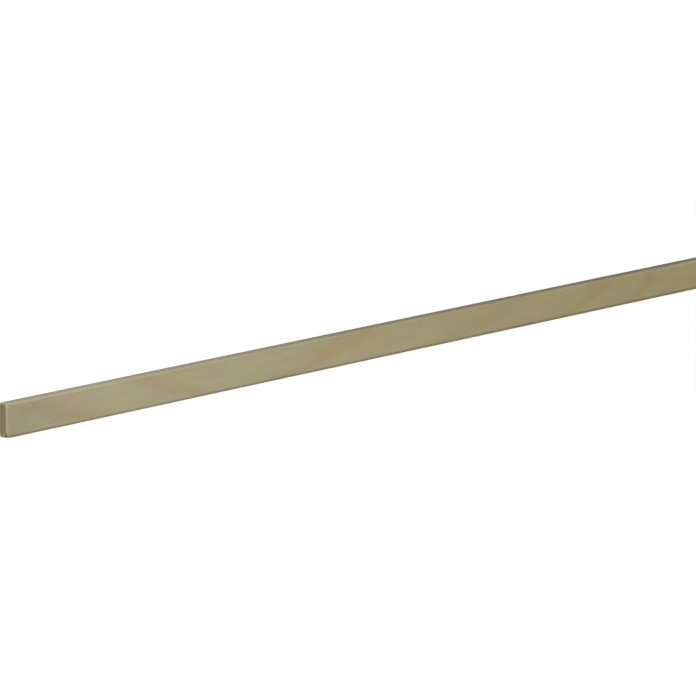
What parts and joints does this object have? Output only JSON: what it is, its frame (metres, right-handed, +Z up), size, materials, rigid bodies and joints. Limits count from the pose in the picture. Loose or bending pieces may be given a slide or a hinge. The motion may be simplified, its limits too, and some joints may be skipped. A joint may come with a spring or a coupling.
{
  "type": "flat wood strip",
  "caption": "Flat planed wood strip with rounded-over face edges and square-cut ends, for trim, battens and light joinery.",
  "frame": {"origin": "middle of the broad face that the strip lies on", "axes": "+X along the grain, +Y across the width, +Z up through the thickness"},
  "size_m": [1, 0.03, 0.008],
  "materials": {
    "wood": "planed smooth, unfinished"
  },
  "bodies": {
    "root": {"wood_strip": "wood"}
  },
  "joints": []
}
